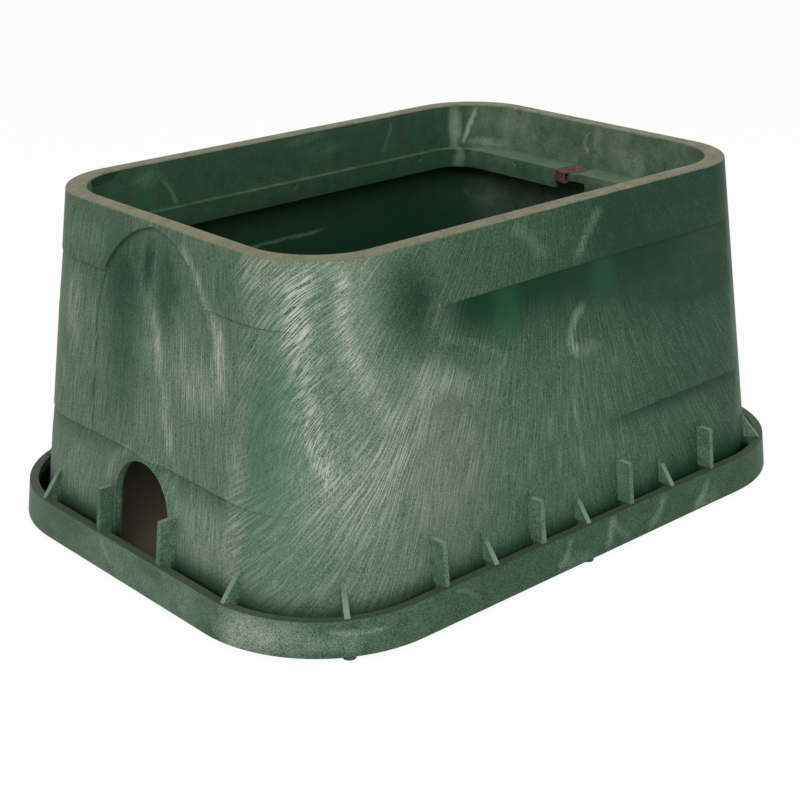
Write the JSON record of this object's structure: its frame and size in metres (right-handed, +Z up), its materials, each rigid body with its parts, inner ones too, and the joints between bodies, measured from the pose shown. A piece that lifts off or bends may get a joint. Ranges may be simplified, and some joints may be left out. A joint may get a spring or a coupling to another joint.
{
  "type": "irrigation valve box",
  "caption": "Deep open-topped rectangular valve box with sloping walls, recessed lid seat, arched pipe slots, ribbed base flange and a steel lid clip.",
  "frame": {"origin": "centre of the footprint, on the plane of the feet of the pegs under the flange", "axes": "+X along the length towards the end with the lid clip, +Y across the width, +Z up through the open top"},
  "size_m": [0.6578, 0.4882, 0.31],
  "materials": {
    "moulding": "swirled flow marks, satin",
    "strap": "rusted"
  },
  "bodies": {
    "root": {"body": "moulding", "clip": "strap"}
  },
  "joints": []
}
